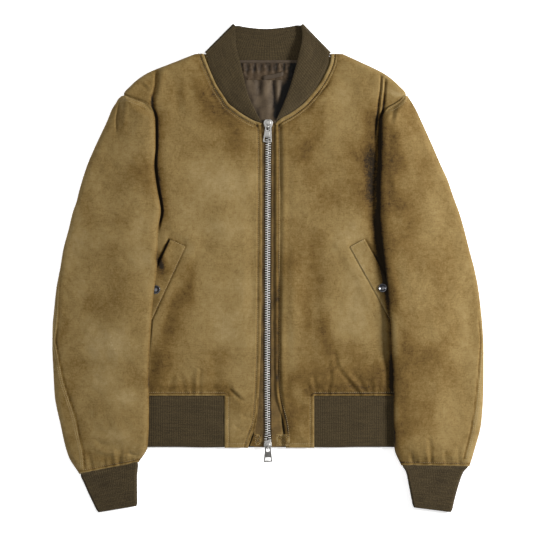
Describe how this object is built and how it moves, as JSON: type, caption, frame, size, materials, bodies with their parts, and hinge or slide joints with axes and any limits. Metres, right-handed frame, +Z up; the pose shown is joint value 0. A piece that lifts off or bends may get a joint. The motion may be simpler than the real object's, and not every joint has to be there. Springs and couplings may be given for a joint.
{
  "type": "bomber jacket",
  "caption": "Lined bomber jacket laid flat and zipped up, with rib collar, cuffs and waistband, slanted welt pockets and a two-way metal zip.",
  "frame": {"origin": "on the floor under the middle of the laid-out jacket", "axes": "+Y from the hem to the collar, +X towards the wearer's left sleeve, +Z up from the floor through the back and then the fronts"},
  "size_m": [0.6912, 0.7834, 0.0251],
  "materials": {
    "shell": "washed olive cotton-blend shell cloth, matte with a soft sheen, uneven fading",
    "rib": "dark olive-brown rib knit",
    "lining": "grey-brown satin lining",
    "zip_cloth": "olive-brown cotton zip tape",
    "zip_metal": "bright silver zip metal",
    "snap_metal": "dark antiqued metal"
  },
  "bodies": {
    "jacket": {"back": "shell", "front_right": "shell", "front_left": "shell", "sleeve_under_right": "shell", "sleeve_under_left": "shell", "sleeve_upper_right": "shell", "sleeve_upper_left": "shell", "pocket_welt_right": "shell", "pocket_welt_left": "shell", "zip_patch_right": "shell", "zip_patch_left": "shell", "collar": "rib", "cuff_right": "rib", "cuff_left": "rib", "hem_rib": "rib", "neck_tape": "lining", "neck_facing": "lining", "lining_back": "lining", "hanger_loop": "lining", "zip_tape_right": "zip_cloth", "zip_tape_left": "zip_cloth", "zip_chain": "zip_metal", "zip_slider_top": "zip_metal", "zip_slider_bottom": "zip_metal", "snap_right": "snap_metal", "snap_left": "snap_metal"},
    "pull_top": {"zip_pull_top": "zip_metal"},
    "pull_bottom": {"zip_pull_bottom": "zip_metal"}
  },
  "joints": [
    {"name": "pull_top_flip", "type": "hinge", "parent": "jacket", "child": "pull_top", "pos_m": [0.00034, 0.226, 0.0116], "axis": [-1, 0, 0], "range_deg": [0, 165]},
    {"name": "pull_bottom_flip", "type": "hinge", "parent": "jacket", "child": "pull_bottom", "pos_m": [-0.0003, -0.2876, 0.0116], "axis": [-1, 0, 0], "range_deg": [0, 180]}
  ]
}
